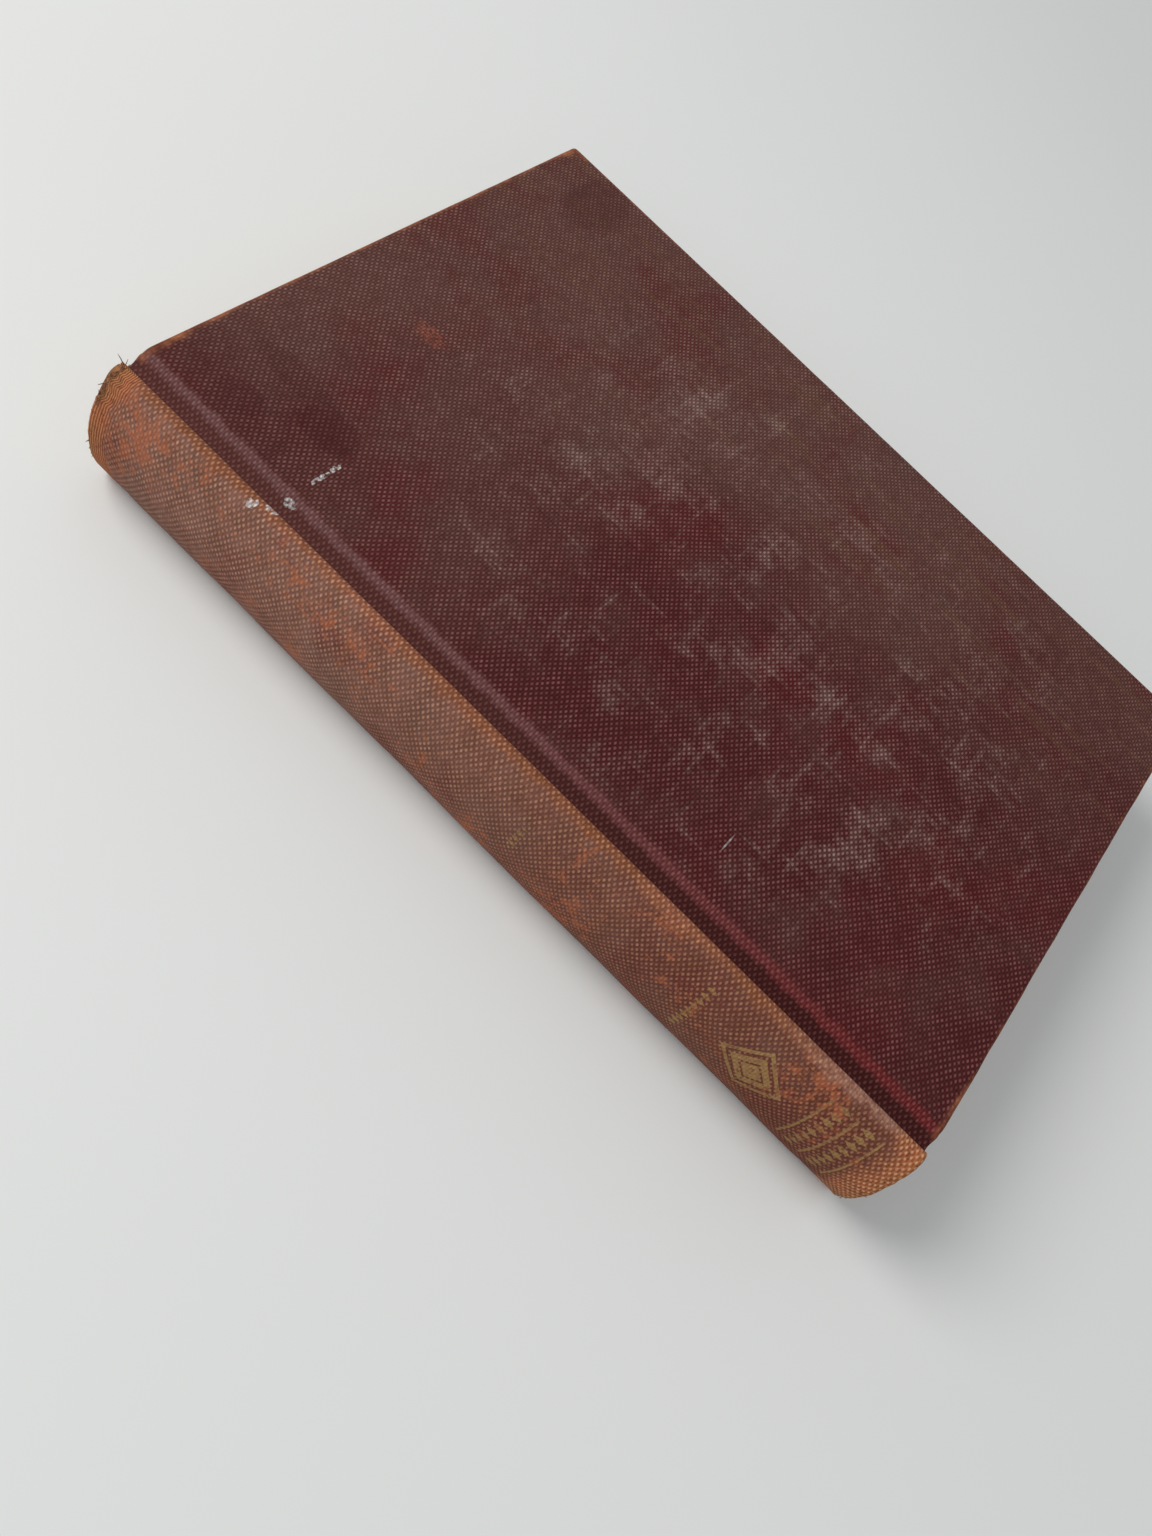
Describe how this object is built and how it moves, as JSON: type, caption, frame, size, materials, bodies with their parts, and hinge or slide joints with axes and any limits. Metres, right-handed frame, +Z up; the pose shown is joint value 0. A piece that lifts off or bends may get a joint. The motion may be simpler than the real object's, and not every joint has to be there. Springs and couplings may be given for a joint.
{
  "type": "hardback book",
  "caption": "Worn cloth-bound hardback book lying on its front cover, with a rounded hollow spine, grooved cloth joints, opening covers and turning leaves.",
  "frame": {"origin": "on the table, under the middle of the whole book (centre of the bounding box at its base)", "axes": "+X to the fore edge, -X to the spine; +Y to the tail of the pages, -Y to the head; +Z up, out of the back cover"},
  "size_m": [0.1452, 0.203, 0.03],
  "materials": {
    "book_cloth": "matte pin-dot buckram, rubbed",
    "board": "matte grey-brown board",
    "spine_card": "matte card",
    "page_paper": "matte, toned by age",
    "endpaper": "matte, toned by age",
    "lining_paper": "matte kraft paper",
    "gauze": "open-weave cotton",
    "thread": "matte linen thread"
  },
  "bodies": {
    "text_block": {"signature_01": "page_paper", "signature_02": "page_paper", "signature_03": "page_paper", "signature_04": "page_paper", "signature_05": "page_paper", "signature_06": "page_paper", "signature_07": "page_paper", "signature_08": "page_paper", "signature_09": "page_paper", "signature_10": "page_paper", "signature_11": "page_paper", "signature_12": "page_paper", "signature_13": "page_paper", "signature_14": "page_paper", "signature_15": "page_paper", "back_sewn_fold": "page_paper", "front_endpaper_fold": "endpaper", "sewing_thread": "thread", "spine_gauze": "gauze", "spine_lining": "lining_paper", "spine_cloth": "book_cloth", "spine_inlay": "spine_card", "back_joint_cloth": "book_cloth", "back_joint_gauze": "gauze", "back_joint_paper": "endpaper", "front_joint_cloth": "book_cloth", "front_joint_gauze": "gauze", "front_joint_paper": "endpaper"},
    "back_cover": {"back_board": "board", "back_cover_cloth": "book_cloth", "back_pastedown": "endpaper", "back_gauze_flap": "gauze"},
    "back_endpaper": {"back_free_endpaper": "endpaper"},
    "front_cover": {"front_board": "board", "front_cover_cloth": "book_cloth", "front_pastedown": "endpaper", "front_gauze_flap": "gauze"},
    "front_endpaper": {"front_free_endpaper": "endpaper"},
    "back_leaves_1": {"back_leaves_1": "page_paper"},
    "back_leaves_2": {"back_leaves_2": "page_paper"},
    "back_leaves_3": {"back_leaves_3": "page_paper"},
    "back_leaves_4": {"back_leaves_4": "page_paper"}
  },
  "joints": [
    {"name": "back_cover_hinge", "type": "hinge", "parent": "text_block", "child": "back_cover", "pos_m": [-0.0653, 0, 0.0276], "axis": [0, -1, 0], "range_deg": [0, 179], "deforming": ["back_joint_cloth", "back_joint_gauze", "back_joint_paper"]},
    {"name": "back_endpaper_turn", "type": "hinge", "parent": "text_block", "child": "back_endpaper", "pos_m": [-0.0549, 0, 0.0263], "axis": [0, -1, 0], "range_deg": [0, 161.1]},
    {"name": "front_cover_hinge", "type": "hinge", "parent": "text_block", "child": "front_cover", "pos_m": [-0.0653, 0, 0.0024], "axis": [0, 1, 0], "range_deg": [0, 179], "deforming": ["front_joint_cloth", "front_joint_gauze", "front_joint_paper"]},
    {"name": "front_endpaper_turn", "type": "hinge", "parent": "text_block", "child": "front_endpaper", "pos_m": [-0.0549, 0, 0.0037], "axis": [0, 1, 0], "range_deg": [0, 161.1]},
    {"name": "back_leaves_1_turn", "type": "hinge", "parent": "text_block", "child": "back_leaves_1", "pos_m": [-0.0544, 0, 0.02608], "axis": [0, -1, 0], "range_deg": [0, 125.3]},
    {"name": "back_leaves_2_turn", "type": "hinge", "parent": "text_block", "child": "back_leaves_2", "pos_m": [-0.0539, 0, 0.02573], "axis": [0, -1, 0], "range_deg": [0, 89.5]},
    {"name": "back_leaves_3_turn", "type": "hinge", "parent": "text_block", "child": "back_leaves_3", "pos_m": [-0.0534, 0, 0.02538], "axis": [0, -1, 0], "range_deg": [0, 53.7]},
    {"name": "back_leaves_4_turn", "type": "hinge", "parent": "text_block", "child": "back_leaves_4", "pos_m": [-0.0529, 0, 0.02503], "axis": [0, -1, 0], "range_deg": [0, 21.48]}
  ],
  "couplings": [
    {"joint": "back_endpaper_turn", "follows": "back_cover_hinge", "ratio": 0.9},
    {"joint": "front_endpaper_turn", "follows": "front_cover_hinge", "ratio": 0.9},
    {"joint": "back_leaves_1_turn", "follows": "back_cover_hinge", "ratio": 0.7},
    {"joint": "back_leaves_2_turn", "follows": "back_cover_hinge", "ratio": 0.5},
    {"joint": "back_leaves_3_turn", "follows": "back_cover_hinge", "ratio": 0.3},
    {"joint": "back_leaves_4_turn", "follows": "back_cover_hinge", "ratio": 0.12}
  ]
}
